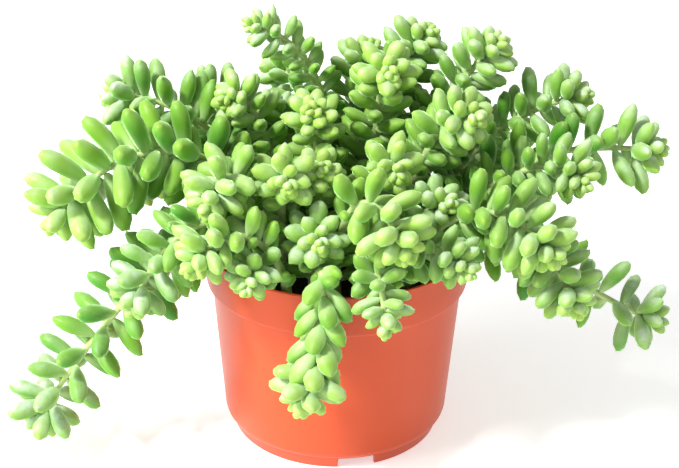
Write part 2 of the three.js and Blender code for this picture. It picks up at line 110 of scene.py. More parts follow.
# A stem's shade, from 0, yellow-green, to 1, deep blue-green.
SHADES = {
    "left_long": 0.2, "left_upper": 0.9, "left_facing": 0.35, "top_curled": 0.7,
    "middle_upper": 0.05, "middle_lower": 0.15, "top_facing": 0.15, "right_facing": 0.05,
    "front_facing": 0.15, "front_left": 0.15, "left_rolled": 0.3, "front_right": 0.1,
    "front_hanging": 0.15, "front_short": 0.55, "left_trailing": 0.85, "left_lower": 0.85,
    "right_wide": 0.3, "right_low": 0.5, "right_trailing": 0.85, "right_far": 0.7,
    "right_mid_facing": 0.55, "upper_facing": 0.3, "top_right": 0.6, "right_upper": 0.75,
    "top_back_right": 0.6, "top_back": 0.5, "top_left": 0.7,
}
USUAL_SHADE = 0.6  # of the stems not named above
# Leaves of these stems stay pale further from their root. 1 is the usual.
PALE_REACH = {
    "front_hanging": 2.4, "left_rolled": 1.6, "front_left": 1.5, "front_facing": 1.6,
    "right_facing": 1.5, "top_curled": 1.6, "top_right": 1.5,
}
STEM_STEPS = 7  # straight steps that the curve is measured along
STALK_STRETCHES = 20  # stretches of stalk that leaves keep clear of
STEM_FOOT_RADIUS = 2.3
STEM_TIP_RADIUS = 1.2
HOLE_DEPTH = 7.0  # how deep a stalk stands in the soil

MOST_LEAVES = 60  # on one stem
FIRST_SEED = 1000
SEED_STEP = 77
LEAF_TURN = 137.5  # degrees about the stem from leaf to leaf
STEM_TURN = 40  # and from the first leaf of one stem to that of the next
FIRST_LEAF = 0.6  # from the tip
HEAD_LEAVES = 14  # that crowd at the tip, this far apart
HEAD_STEP = 0.75
YOUNG_RUN = 12.0  # how far from the tip leaves are grown
YOUNG_SHARE = 0.32  # size of the youngest leaves beside the grown
YOUNG_BREADTH = 0.3  # how much broader they are for their length
YOUNG_SWELL = 0.22  # and how much plumper
OPEN_RUN = 10.0  # how far from the tip leaves stand open
YOUNG_TILT = 12.0  # degrees from the stem at the tip
GROWN_TILT = 78.0  # and further down
CLOSER = {"front_hanging": 38.0}  # leaves that lie closer to the stem, by degrees
CLOSER_FROM = 16.0  # where that starts, from the tip
CLOSER_RUN = 10.0
LIFT = 0.14  # how much grown leaves turn up
# How much leaves vary: degrees of turn, degrees of tilt, and share of their length.
TURN_JITTER = 14
TILT_JITTER = 12
LENGTH_JITTER = 0.16
SLIM = 0.2  # half width over length of a slim leaf
SLIM_THICKNESS = 0.88  # and its thickness over width
BROAD_LOSS = 2.2  # how much less that is as the leaf broadens
AGE_RUN = 60  # how far from the tip leaves still darken
WAX_RUN = 50  # and how far their bloom still thins
LEAF_CLEARANCE = 0.3
NECK_START = 0.1  # a leaf's neck, as shares of its length
NECK_END = 0.32
NECK_THICKNESS = 0.55  # as a share of its half width
BODY_THICKNESS = 0.95
PROBES = (0, 0.25, 0.5, 0.75, 1)  # places along a leaf where its room is measured
# Ways to move a leaf that has no room: turn about the stem, tilt, and share of its length.
SHIFTS = (
    (0, 0, 1), (13, 0, 1), (-13, 0, 1), (0, -13, 1), (0, 13, 1), (25, -8, 1), (-25, -8, 1),
    (0, -24, 0.92), (0, 0, 0.82), (20, -10, 0.82), (-20, -10, 0.82), (0, -22, 0.75),
    (0, 0, 0.66), (18, -14, 0.66), (-18, -14, 0.66), (0, -28, 0.58),
)
SOIL_LUMP = 0.9  # how far the soil's lumps may stand up
WALL = 1.5
RIM_RADIUS = 65.0
POT_HEIGHT = 100.0
COLLAR_BOTTOM = 79.0
# The pot wall's middle line, as pieces from (radius, height) to (radius, height).
WALL_LINE = (
    (51.0, 0.0, 54.65, 8.0),
    (54.65, 8.0, 60.25, COLLAR_BOTTOM),
    (62.85, COLLAR_BOTTOM, 64.25, POT_HEIGHT),
)


def ease(x):
    """Goes smoothly from 0 to 1 as x does."""
    t = min(1.0, max(0.0, x))
    return t * t * (3 - 2 * t)


def random_from(seed):
    """Yields a repeatable random number from 0 to 1 each time."""
    state = seed
    while True:
        state = (state * 1664525 + 1013904223) % 4294967296
        yield state / 4294967296


def unit(v):
    return v / np.linalg.norm(v)


class CentreLine:
    """A stem's centre line: the point at a distance from its root, and its direction there."""

    def __init__(self, spec):
        self.p = [np.array((*spec[0], STEM_START), float)]
        self.p += [np.array(point, float) for point in spec[1:4]]
        self.points = [self.curve(i / STEM_STEPS) for i in range(STEM_STEPS + 1)]
        self.runs = [0.0]
        for a, b in zip(self.points, self.points[1:]):
            self.runs.append(self.runs[-1] + float(np.linalg.norm(b - a)))
        self.length = self.runs[-1]
        chord = self.p[3] - self.p[0]
        self.side = unit(np.array((-chord[1], chord[0], 0.0)))

    def curve(self, t):
        p, u = self.p, 1 - t
        return u**3 * p[0] + 3 * u * u * t * p[1] + 3 * u * t * t * p[2] + t**3 * p[3]

    def direction(self, t):
        p, u = self.p, 1 - t
        return unit(u * u * (p[1] - p[0]) + 2 * u * t * (p[2] - p[1]) + t * t * (p[3] - p[2]))

    def at(self, run):
        i = 1
        while i < STEM_STEPS and self.runs[i] < run:
            i += 1
        share = (run - self.runs[i - 1]) / (self.runs[i] - self.runs[i - 1])
        along = self.direction(min(1.0, (i - 1 + share) / STEM_STEPS))
        across = unit(self.side - along * float(self.side @ along))
        point = self.points[i - 1] + (self.points[i] - self.points[i - 1]) * share
        return point, along, across, np.cross(along, across)


def stem_radius(share):
    return STEM_FOOT_RADIUS + (STEM_TIP_RADIUS - STEM_FOOT_RADIUS) * share


def room_at(point):
    """How far a point is from the pot's wall, the ground and, inside the pot, the soil."""
    rho = math.hypot(point[0], point[1])
    room = point[2]
    for r0, z0, r1, z1 in WALL_LINE:
        dr, dz = r1 - r0, z1 - z0
        t = ((rho - r0) * dr + (point[2] - z0) * dz) / (dr * dr + dz * dz)
        t = min(1.0, max(0.0, t))
        off = math.hypot(rho - r0 - t * dr, point[2] - z0 - t * dz)
        room = min(room, off - WALL / 2)
    if rho < RIM_RADIUS:
        room = min(room, point[2] - SOIL_TOP - SOIL_LUMP)
    return room


class Taken:
    """Every stretch of stem or leaf placed so far, and which stem it belongs to."""

    def __init__(self, most):
        self.start = np.zeros((most, 3))
        self.end = np.zeros((most, 3))
        self.radius = np.zeros(most)
        self.owner = np.zeros(most, int)
        self.count = 0

    def add(self, owner, start, end, radius):
        i = self.count
        self.start[i], self.end[i], self.radius[i], self.owner[i] = start, end, radius, owner
        self.count += 1

    def clear_of(self, owner, start, end, radius):
        """True if the stretch start-end keeps its clearance from all other stems' stretches."""
        n = self.count
        u = end - start
        v = self.end[:n] - self.start[:n]
        w = start - self.start[:n]
        uu = u @ u
        vv = np.einsum("ij,ij->i", v, v)
        uv, uw = v @ u, w @ u
        vw = np.einsum("ij,ij->i", v, w)
        spread = uu * vv - uv * uv
        safe = np.where(spread > 1e-9, spread, 1.0)
        s = np.where(spread > 1e-9, np.clip((uv * vw - vv * uw) / safe, 0, 1), 0)
        t = np.clip((uv * s + vw) / vv, 0, 1)
        s = np.clip((uv * t - uw) / uu, 0, 1)
        off = w + s[:, None] * u - t[:, None] * v
        near = np.sqrt(np.einsum("ij,ij->i", off, off))
        free = near >= radius + self.radius[:n] + LEAF_CLEARANCE
        return bool(np.all(free | (self.owner[:n] == owner)))


def leaf_spans(base, heading, length, half_width):
    """A leaf's body and neck, as lines with a radius that hold it."""
    neck = base + heading * length * NECK_END
    return (
        (neck, base + heading * (length - half_width), BODY_THICKNESS * half_width),
        (base + heading * length * NECK_START, neck, NECK_THICKNESS * half_width),
    )


def leaf_fits(taken, owner, spans):
    """True if a leaf clears the pot, the soil and what other stems have taken."""
    for start, end, radius in spans:
        for share in PROBES:
            if room_at(start + (end - start) * share) < radius + LEAF_CLEARANCE:
                return False
    return all(taken.clear_of(owner, *span) for span in spans)


def leaf_age(shade, grown, from_tip):
    """0 for the colour of a young leaf and 1 for a grown one's."""
    return (0.25 + 0.5 * shade) * grown + (0.5 - 0.25 * shade) * ease(from_tip / AGE_RUN)


def leaf_wax(shade, from_tip):
    """How thick the pale bloom is: deep green stems have more, and old leaves less."""
    return (0.3 + 0.5 * shade) * (1 - 0.85 * ease(from_tip / WAX_RUN))


def grow_leaves(lines):
    """Places the leaves of all stems, youngest first, each where it has room."""
    taken = Taken((STALK_STRETCHES + 2 * MOST_LEAVES) * len(lines))
    for owner, line in enumerate(lines):
        for i in range(STALK_STRETCHES):
            start = line.at(line.length * i / STALK_STRETCHES)[0]
            end = line.at(line.length * (i + 1) / STALK_STRETCHES)[0]
            taken.add(owner, start, end, stem_radius(i / STALK_STRETCHES))
    draws = [random_from(FIRST_SEED + SEED_STEP * i) for i in range(len(lines))]
    leaves = [[] for _ in lines]
    specs = list(STEMS.values())
    closer = [CLOSER.get(name, 0.0) for name in STEMS]
    shades = [SHADES.get(name, USUAL_SHADE) for name in STEMS]
    reaches = [PALE_REACH.get(name, 1.0) for name in STEMS]
    for rank in range(MOST_LEAVES):
        for owner, line in enumerate(lines):
            size_grown, slimness, step, leafy = specs[owner][4:]
            shade = shades[owner]
            young = min(rank, HEAD_LEAVES)
            from_tip = FIRST_LEAF + HEAD_STEP * young + step * (rank - young)
            jitter = [next(draws[owner]) - 0.5 for _ in range(3)]
            if from_tip > line.length * leafy:
                continue
            grown = ease(from_tip / YOUNG_RUN)
            opened = 1 - (1 - min(1, from_tip / OPEN_RUN)) ** 2
            grown_tilt = GROWN_TILT - closer[owner] * ease((from_tip - CLOSER_FROM) / CLOSER_RUN)
            base, along, across, up = line.at(line.length - from_tip)
            for turn, lean, share in SHIFTS:
                angle = math.radians(
                    LEAF_TURN * rank + STEM_TURN * owner + TURN_JITTER * jitter[0] + turn
                )
                spread = (grown_tilt - YOUNG_TILT + TILT_JITTER * jitter[1]) * opened
                tilt = math.radians(YOUNG_TILT + spread + lean)
                size = YOUNG_SHARE + (1 - YOUNG_SHARE) * grown
                length = size_grown * size * (1 + LENGTH_JITTER * jitter[2]) * share
                outward = across * math.cos(angle) + up * math.sin(angle)
                heading = along * math.cos(tilt) + outward * math.sin(tilt)
                heading[2] += LIFT * grown
                heading = unit(heading)
                half_width = slimness * length * (1 + YOUNG_BREADTH - YOUNG_BREADTH * grown)
                spans = leaf_spans(base, heading, length, half_width)
                if not leaf_fits(taken, owner, spans):
                    continue
                leaves[owner].append(
                    {
                        "base": base,
                        "heading": heading,
                        "along": along,
                        "length": length,
                        "half_width": half_width,
                        "thickness": SLIM_THICKNESS - BROAD_LOSS * (slimness - SLIM),
                        "grown": grown,
                        "age_and_painted_shade": leaf_age(shade, grown, from_tip),
                        "tone": jitter[0] + 0.5,
                        "wax_and_painted_highlight": leaf_wax(shade, from_tip),
                        "pale_reach": reaches[owner],
                    }
                )
                for span in spans:
                    taken.add(owner, *span)
                break
    return leaves


# ------------------------------------------------------------------ settings


class PotSettings(bpy.types.PropertyGroup):
    """The nursery pot's sizes and colour."""

    rim_radius: bpy.props.FloatProperty(
        name="Rim radius", description="Half the width over the rim",
        default=RIM_RADIUS * MM, unit="LENGTH", subtype="DISTANCE",
    )
    height: bpy.props.FloatProperty(
        name="Height", description="From the ground to the rim",
        default=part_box("pot")[1].z, unit="LENGTH", subtype="DISTANCE",
    )
    collar_height: bpy.props.FloatProperty(
        name="Collar bottom", description="Height of the step under the rim band",
        default=COLLAR_BOTTOM * MM, unit="LENGTH", subtype="DISTANCE",
    )
    colour: bpy.props.FloatVectorProperty(
        name="Plastic colour", description="Colour of the moulded plastic",
        default=(0.57, 0.079, 0.025), size=3, min=0, max=1, subtype="COLOR",
    )
    roughness: bpy.props.FloatProperty(
        name="Plastic roughness", description="0 is mirror-like, 1 is dull",
        default=0.34, min=0, max=1, subtype="FACTOR",
    )


class SoilSettings(bpy.types.PropertyGroup):
    """The potting soil's surface."""

    colour: bpy.props.FloatVectorProperty(
        name="Soil colour", description="Colour of the moist peat",
        default=(0.028, 0.017, 0.011), size=3, min=0, max=1, subtype="COLOR",
    )
    crumbs: bpy.props.IntProperty(
        name="Crumbs", description="How many loose crumbs lie on the soil",
        default=160, min=0, max=600,
    )
    crumb_size: bpy.props.FloatProperty(
        name="Crumb size", description="Width of the largest crumb",
        default=0.0046, unit="LENGTH", subtype="DISTANCE",
    )


class PlantSettings(bpy.types.PropertyGroup):
    """The leaves' and stalks' colours."""

    young_colour: bpy.props.FloatVectorProperty(
        name="Young leaf", description="Colour of the leaves in the rosettes",
        default=(0.35, 0.52, 0.06), size=3, min=0, max=1, subtype="COLOR",
    )
    grown_colour: bpy.props.FloatVectorProperty(
        name="Grown leaf", description="Colour of the grown leaves",
        default=(0.03, 0.21, 0.001), size=3, min=0, max=1, subtype="COLOR",
    )
    bloom_colour: bpy.props.FloatVectorProperty(
        name="Bloom", description="Colour of the pale wax on the leaves",
        default=(0.55, 0.66, 0.54), size=3, min=0, max=1, subtype="COLOR",
    )
    stalk_colour: bpy.props.FloatVectorProperty(
        name="Stalk", description="Colour of the stalks",
        default=(0.52, 0.62, 0.26), size=3, min=0, max=1, subtype="COLOR",
    )


class StageSettings(bpy.types.PropertyGroup):
    """The floor, the lights and the camera."""

    floor_colour: bpy.props.FloatVectorProperty(
        name="Floor", description="Colour of the plain floor",
        default=(0.8, 0.8, 0.8), size=3, min=0, max=1, subtype="COLOR",
    )
    floor_glow: bpy.props.FloatProperty(
        name="Floor glow", description="Light given off by the floor, as a light table gives",
        default=0.52, min=0,
    )
    ambient: bpy.props.FloatProperty(
        name="Ambient", description="Strength of the light from all round",
        default=0.52, min=0,
    )
    key_power: bpy.props.FloatProperty(
        name="Key light", description="Power of the large soft light, in watts",
        default=44.0, min=0,
    )
    lens: bpy.props.FloatProperty(
        name="Lens", description="Focal length on a 36 mm sensor",
        default=87.75, min=10, unit="CAMERA",
    )


# ------------------------------------------------------------------ mesh helpers


def deselect_all():
    if bpy.context.object and bpy.context.object.mode != "OBJECT":
        bpy.ops.object.mode_set(mode="OBJECT")
    bpy.ops.object.select_all(action="DESELECT")


def select_only(obj):
    deselect_all()
    obj.select_set(True)
    bpy.context.view_layer.objects.active = obj


def place_in_mesh(obj):
    """Puts the object's place into its mesh, so the object itself sits at the origin."""
    select_only(obj)
    bpy.ops.object.transform_apply(location=True, rotation=True, scale=True)


def join_pieces(pieces):
    """Joins loose pieces into the first of them."""
    deselect_all()
    for piece in pieces:
        piece.select_set(True)
    bpy.context.view_layer.objects.active = pieces[0]
    bpy.ops.object.join()


def give_material(obj, material):
    obj.data.materials.clear()
    obj.data.materials.append(material)


def smooth_faces(mesh):
    for polygon in mesh.polygons:
        polygon.use_smooth = True


def apply_modifiers(obj):
    select_only(obj)
    for modifier in list(obj.modifiers):
        bpy.ops.object.modifier_apply(modifier=modifier.name)


def turned_shell(name, profile, sides):
    """Models a closed round body: a circle is extruded and resized along the profile of
    (radius, height) points, and its two ends are closed at the axis."""
    deselect_all()
    radius, height = profile[0]
    bpy.ops.mesh.primitive_circle_add(
        vertices=sides, radius=radius, location=(0, 0, height), fill_type="NOTHING"
    )
    obj = bpy.context.object
    obj.name = name
    bpy.ops.object.mode_set(mode="EDIT")
    bpy.ops.mesh.select_all(action="SELECT")
    for (r0, z0), (r1, z1) in zip(profile, profile[1:]):
        bpy.ops.mesh.extrude_edges_move(TRANSFORM_OT_translate={"value": (0, 0, z1 - z0)})
        bpy.ops.transform.resize(value=(r1 / r0, r1 / r0, 1), center_override=(0, 0, z1))
    bpy.ops.mesh.select_all(action="DESELECT")
    bpy.ops.mesh.select_non_manifold()
    bpy.ops.mesh.edge_face_add()
    bpy.ops.mesh.select_all(action="SELECT")
    bpy.ops.mesh.normals_make_consistent(inside=False)
    bpy.ops.object.mode_set(mode="OBJECT")
    place_in_mesh(obj)
    return obj


def cut_with(obj, cutter):
    """Cuts one closed body out of another and removes the cutter."""
    modifier = obj.modifiers.new("Cut", "BOOLEAN")
    modifier.operation = "DIFFERENCE"
    modifier.solver = "EXACT"
    modifier.object = cutter
    apply_modifiers(obj)
    bpy.data.objects.remove(cutter)


def shade_smooth(obj, degrees):
    select_only(obj)
    bpy.ops.object.shade_smooth_by_angle(angle=math.radians(degrees))


def set_value_attribute(mesh, name, values):
    """Gives every vertex its value, or all of them the same one."""
    attribute = mesh.attributes.get(name) or mesh.attributes.new(name, "FLOAT", "POINT")
    attribute.data.foreach_set("value", np.full(len(mesh.vertices), values, np.float32))


def upward(mesh):
    """How much the surface faces up at each vertex, from 0 to 1."""
    normals = np.empty(3 * len(mesh.vertices), np.float32)
    mesh.vertex_normals.foreach_get("vector", normals)
    return 0.5 + 0.5 * normals[2::3]


# ------------------------------------------------------------------ materials


def node_group(name, inputs, outputs):
    """An empty shader node group with these inputs and outputs, and its two end nodes."""
    group = bpy.data.node_groups.new(name, "ShaderNodeTree")
    for label, default in inputs:
        socket = group.interface.new_socket(label, in_out="INPUT", socket_type="NodeSocketFloat")
        socket.default_value = default
    for label in outputs:
        group.interface.new_socket(label, in_out="OUTPUT", socket_type="NodeSocketFloat")
    return group, group.nodes.new("NodeGroupInput"), group.nodes.new("NodeGroupOutput")


def uneven_tone_group():
    """Soft blotches over a surface, from 0 to 1, on the object's own coordinates."""
    group, start, end = node_group(
        "Uneven tone", [("Scale", 60.0), ("Detail", 4.0), ("Contrast", 1.0)], ["Tone"]
    )
    nodes, links = group.nodes, group.links
    place = nodes.new("ShaderNodeTexCoord")
    noise = nodes.new("ShaderNodeTexNoise")
    noise.inputs["Roughness"].default_value = 0.55
    centre, scale, back = (nodes.new("ShaderNodeMath") for _ in range(3))
    centre.operation, scale.operation, back.operation = "SUBTRACT", "MULTIPLY", "ADD"
    centre.inputs[1].default_value = back.inputs[1].default_value = 0.5
    back.use_clamp = True
    links.new(place.outputs["Object"], noise.inputs["Vector"])
    links.new(start.outputs["Scale"], noise.inputs["Scale"])
    links.new(start.outputs["Detail"], noise.inputs["Detail"])
    links.new(noise.outputs["Fac"], centre.inputs[0])
    links.new(centre.outputs[0], scale.inputs[0])
    links.new(start.outputs["Contrast"], scale.inputs[1])
    links.new(scale.outputs[0], back.inputs[0])
    links.new(back.outputs[0], end.inputs["Tone"])
    return group


def fine_grain_group():
    """The height of a fine grain with a slower swell under it, for a bump."""
    group, start, end = node_group(
        "Fine grain", [("Grain scale", 900.0), ("Swell scale", 120.0), ("Swell share", 0.5)], ["Height"]
    )
    nodes, links = group.nodes, group.links
    place = nodes.new("ShaderNodeTexCoord")
    grain = nodes.new("ShaderNodeTexNoise")
    grain.inputs["Detail"].default_value = 3
    swell = nodes.new("ShaderNodeTexNoise")
    swell.inputs["Detail"].default_value = 2
    mix = nodes.new("ShaderNodeMix")
    for noise, label in ((grain, "Grain scale"), (swell, "Swell scale")):
        links.new(place.outputs["Object"], noise.inputs["Vector"])
        links.new(start.outputs[label], noise.inputs["Scale"])
    links.new(start.outputs["Swell share"], mix.inputs["Factor"])
    links.new(grain.outputs["Fac"], mix.inputs["A"])
    links.new(swell.outputs["Fac"], mix.inputs["B"])
    links.new(mix.outputs["Result"], end.inputs["Height"])
    return group


class Finish:
    """Wires one material: its nodes are made, given values and linked by short calls."""

    def __init__(self, name):
        self.material = bpy.data.materials.new(name)
        self.material.use_nodes = True
        self.nodes = self.material.node_tree.nodes
        self.links = self.material.node_tree.links
        self.shader = self.nodes["Principled BSDF"]

    def set(self, **values):
        for label, value in values.items():
            self.shader.inputs[label.replace("_", " ")].default_value = value

    def feed(self, label, source):
        self.links.new(source, self.shader.inputs[label])

    def group(self, tree, **values):
        node = self.nodes.new("ShaderNodeGroup")
        node.node_tree = tree
        for label, value in values.items():
            node.inputs[label.replace("_", " ")].default_value = value
        return node.outputs[0]

    def attribute(self, name):
        node = self.nodes.new("ShaderNodeAttribute")
        node.attribute_name = name
        return node.outputs["Fac"]

    def product(self, a, b):
        node = self.nodes.new("ShaderNodeMath")
        node.operation = "MULTIPLY"
        self.links.new(a, node.inputs[0])
        self.links.new(b, node.inputs[1])
        return node.outputs[0]

    def mapped(self, value, low, high, to_low, to_high):
        node = self.nodes.new("ShaderNodeMapRange")
        node.interpolation_type = "SMOOTHSTEP"
        self.links.new(value, node.inputs["Value"])
        ends = {"From Min": low, "From Max": high, "To Min": to_low, "To Max": to_high}
        for label, number in ends.items():
            node.inputs[label].default_value = number
        return node.outputs["Result"]

    def mix(self, factor, a, b):
        node = self.nodes.new("ShaderNodeMix")
        node.data_type = "RGBA"
        sockets = [s for s in node.inputs if s.enabled]
        for socket, value in zip(sockets, (factor, a, b)):
            if isinstance(value, tuple):
                socket.default_value = (*value, 1.0)
            else:
                self.links.new(value, socket)
        return next(s for s in node.outputs if s.enabled)

    def bump(self, height, strength, distance):
        node = self.nodes.new("ShaderNodeBump")
        node.inputs["Strength"].default_value = strength
        node.inputs["Distance"].default_value = distance
        self.links.new(height, node.inputs["Height"])
        self.feed("Normal", node.outputs["Normal"])


MID_GREEN = (0.23, 0.46, 0.015)
LEAF_ROOT_GREEN = (0.50, 0.68, 0.30)
LEAF_TIP_TAN = (0.40, 0.44, 0.06)
STALK_DEEP_GREEN = (0.33, 0.47, 0.14)


def leaf_material(tone_group, grain_group, plant):
    """Waxy leaf skin: yellow-green when young, mid green when grown, paler at the root, with a pale
    bloom that is thicker on some stems. Upward-facing tops carry extra bloom as a painted highlight,
    and undersides are painted deeper green as painted shade."""
    finish = Finish("Burro's tail leaf")
    # The age and wax values also carry painted light: painted shade on leaf undersides and a painted
    # highlight of bloom on their tops.
    age_and_painted_shade = finish.attribute("age_and_painted_shade")
    own_tone = finish.attribute("tone")
    along = finish.attribute("along")
    wax_and_painted_highlight = finish.attribute("wax_and_painted_highlight")
    body = finish.mix(age_and_painted_shade, tuple(plant.young_colour), tuple(plant.grown_colour))
    varied = finish.mix(finish.mapped(own_tone, 0.0, 1.0, 0.0, 0.45), body, MID_GREEN)
    root = finish.mix(finish.mapped(along, 0.0, 0.6, 0.7, 0.0), varied, LEAF_ROOT_GREEN)
    tip = finish.mix(finish.mapped(along, 0.94, 1.0, 0.0, 0.25), root, LEAF_TIP_TAN)
    blotch = finish.group(tone_group, Scale=150.0, Detail=3.0, Contrast=2.2)
    bloom_share = finish.product(finish.mapped(blotch, 0.2, 0.9, 0.35, 1.0), wax_and_painted_highlight)
    skin = finish.mix(bloom_share, tip, tuple(plant.bloom_colour))
    finish.feed("Base Color", skin)
    finish.feed("Roughness", finish.mapped(blotch, 0.0, 1.0, 0.38, 0.52))
    grain = finish.group(grain_group, Grain_scale=1600.0, Swell_scale=260.0, Swell_share=0.45)
    finish.bump(grain, 0.12, 0.0006)
    finish.set(
        Subsurface_Weight=0.25,
        Subsurface_Radius=(0.35, 1.0, 0.08),
        Subsurface_Scale=0.003,
        Sheen_Weight=1.0,
        Sheen_Roughness=0.42,
        Sheen_Tint=(0.62, 0.95, 0.42, 1.0),
        IOR=1.38,
    )
    return finish.material


def stalk_material(tone_group, grain_group, plant):
    """Pale stalk, slightly blotched."""
    finish = Finish("Burro's tail stalk")
    blotch = finish.group(tone_group, Scale=220.0, Detail=4.0, Contrast=1.6)
    finish.feed("Base Color", finish.mix(blotch, tuple(plant.stalk_colour), STALK_DEEP_GREEN))
    finish.feed("Roughness", finish.mapped(blotch, 0.0, 1.0, 0.5, 0.66))
    grain = finish.group(grain_group, Grain_scale=1400.0, Swell_scale=300.0, Swell_share=0.5)
    finish.bump(grain, 0.25, 0.0006)
    finish.set(Subsurface_Weight=0.12, Subsurface_Radius=(0.7, 1.0, 0.3), Subsurface_Scale=0.002)
    return finish.material


def plastic_material(tone_group, grain_group, pot):
    """Thin moulded plastic: even coral colour, soft gloss, faint flow marks and handling haze."""
    finish = Finish("Coral nursery plastic")
    haze = finish.group(tone_group, Scale=26.0, Detail=6.0, Contrast=1.2)
    colour = tuple(pot.colour)
    deeper = tuple(0.86 * c for c in colour)
    finish.feed("Base Color", finish.mix(finish.mapped(haze, 0.2, 0.9, 0.0, 0.35), colour, deeper))
    finish.feed(
        "Roughness", finish.mapped(haze, 0.1, 0.9, pot.roughness - 0.03, pot.roughness + 0.07)
    )
    grain = finish.group(grain_group, Grain_scale=1800.0, Swell_scale=60.0, Swell_share=0.7)
    finish.bump(grain, 0.06, 0.0008)
    finish.set(
        Subsurface_Weight=0.12,
        Subsurface_Radius=(1.0, 0.35, 0.15),
        Subsurface_Scale=0.003,
        IOR=1.3,
    )
    return finish.material


def soil_material(tone_group, grain_group, soil):
    """Moist peat with lighter fibres and grit."""
    finish = Finish("Potting soil")
    blotch = finish.group(tone_group, Scale=240.0, Detail=8.0, Contrast=2.2)
    dark = tuple(soil.colour)
    light = tuple(min(1.0, 3.2 * c) for c in dark)
    finish.feed("Base Color", finish.mix(blotch, dark, light))
    finish.feed("Roughness", finish.mapped(blotch, 0.0, 1.0, 0.85, 0.98))
    grain = finish.group(grain_group, Grain_scale=1200.0, Swell_scale=380.0, Swell_share=0.5)
    finish.bump(grain, 0.9, 0.0015)
    return finish.material


def shared_groups():
    tone = bpy.data.node_groups.get("Uneven tone") or uneven_tone_group()
    grain = bpy.data.node_groups.get("Fine grain") or fine_grain_group()
    return tone, grain


# ------------------------------------------------------------------ the pot


def pot_profile(pot):
    """Half of the pot's section, from the middle of its underside round to the middle of its
    floor. The rim, the collar's step and the foot have small radii, as moulded plastic has."""
    rim, top, step = pot.rim_radius, pot.height, pot.collar_height
    return [
        (0.0060, 0.0064), (0.0300, 0.0064), (0.0472, 0.0064), (0.0482, 0.0058), (0.0485, 0.0006),
        (0.0489, 0.0000), (0.0505, 0.0000), (0.0510, 0.0005), (0.0519, 0.0060), (0.0523, 0.0065),
        (0.0530, 0.0067), (0.0541, 0.0074), (0.0549, 0.0086), (0.0554, 0.0104), (0.0573, 0.0340),
        (0.0591, 0.0560), (0.0608, step - 0.0022), (0.0611, step - 0.0012), (0.0618, step - 0.0006),
        (0.0629, step - 0.0002), (0.0634, step + 0.0003), (0.0636, step + 0.0012),
        (0.0643, step + 0.0110), (rim - 0.0001, top - 0.0012), (rim, top - 0.0005),
        (rim - 0.0004, top), (rim - 0.0010, top), (rim - 0.0014, top - 0.0005),
        (rim - 0.0016, top - 0.0015), (0.0628, step + 0.0110), (0.0621, step + 0.0016),
        (0.0612, step + 0.0006), (0.0597, step - 0.0006), (0.0593, step - 0.0020),
        (0.0576, 0.0560), (0.0558, 0.0340), (0.0539, 0.0108), (0.0529, 0.0090), (0.0514, 0.0082),
        (0.0300, 0.0082), (0.0060, 0.0082),
    ]


POT_SIDES = 128
DRAIN_TURNS = (-78, 42, 162)
# A drain's cutters, each a size, a distance from the axis and a height: the notch through the
# foot ring, and the slot through the floor's edge.
DRAIN_CUTTERS = (
    ((0.012, 0.018, 0.0108), 0.0510, 0.0),
    ((0.007, 0.0126, 0.0072), 0.0430, 0.0064),
)


def drain_cutters(turn):
    """The cutters of the drain at this turn about the axis, with softened edges."""
    made = []
    for size, radius, height in DRAIN_CUTTERS:
        deselect_all()
        bpy.ops.mesh.primitive_cube_add(size=1, location=(radius, 0, height))
        cutter = bpy.context.object
        cutter.scale = size
        place_in_mesh(cutter)
        bevel = cutter.modifiers.new("Corners", "BEVEL")
        bevel.width = 0.0008
        bevel.segments = 2
        apply_modifiers(cutter)
        cutter.rotation_euler = (0, 0, math.radians(turn))
        place_in_mesh(cutter)
        made.append(cutter)
    return made


class BURROSTAIL_OT_pot(bpy.types.Operator):
    """Moulds the nursery pot: foot ring with drain notches, tapered wall, collar and rim."""

    bl_idname = "burrostail.pot"
    bl_label = "Mould pot"

    def execute(self, context):
        pot = context.scene.burrostail_pot
        shell = turned_shell("nursery_pot", pot_profile(pot), POT_SIDES)
        for turn in DRAIN_TURNS:
            for cutter in drain_cutters(turn):
                cut_with(shell, cutter)
        shade_smooth(shell, 38)
        give_material(shell, plastic_material(*shared_groups(), pot))
        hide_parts("pot")
        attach(shell, "root")
        return {"FINISHED"}


# ------------------------------------------------------------------ the soil

SOIL_SIDES = 64
CRUMB_SEED = 5
SCATTER_SEED = 31
CRUMB_REACH = 0.058  # how far from the axis crumbs lie


def crumb_model():
    """One crumb of peat, a lumpy little ball."""
    deselect_all()
    bpy.ops.mesh.primitive_ico_sphere_add(subdivisions=2, radius=0.5)
    crumb = bpy.context.object
    crumb.name = "crumb_model"
    draw = random_from(CRUMB_SEED)
    for vertex in crumb.data.vertices:
        vertex.co *= 0.78 + 0.44 * next(draw)
    return crumb


def soil_bed():
    """The block of soil, with its surface subdivided and pushed into lumps."""
    top = SOIL_TOP * MM
    profile = [
        (0.0060, 0.0088), (0.0495, 0.0088), (0.0532, 0.0124), (0.0588, 0.0770),
        (0.0598, 0.0815), (0.0612, top - 0.0010), (0.0604, top), (0.0540, top + 0.0003),
        (0.0470, top), (0.0400, top), (0.0330, top), (0.0260, top), (0.0190, top),
        (0.0120, top), (0.0060, top),
    ]
    bed = turned_shell("soil_bed", profile, SOIL_SIDES)
    clouds = bpy.data.textures.new("Soil lumps", "CLOUDS")
    clouds.noise_scale = 0.006
    clouds.noise_depth = 3
    # The lumps spare the soil's sides and the ring by the pot's wall.
    surface = bed.vertex_groups.new(name="surface")
    loose = [v.index for v in bed.data.vertices if v.co.z > top - 0.0006 and v.co.xy.length < 0.06]
    surface.add(loose, 1.0, "REPLACE")
    subdivide = bed.modifiers.new("Finer", "SUBSURF")
    subdivide.subdivision_type = "SIMPLE"
    subdivide.levels = subdivide.render_levels = 1
    lumps = bed.modifiers.new("Lumps", "DISPLACE")
    lumps.texture = clouds
    lumps.vertex_group = "surface"
    lumps.direction = "Z"
    lumps.strength = 0.0032
    lumps.mid_level = 0.45
    apply_modifiers(bed)
    return bed


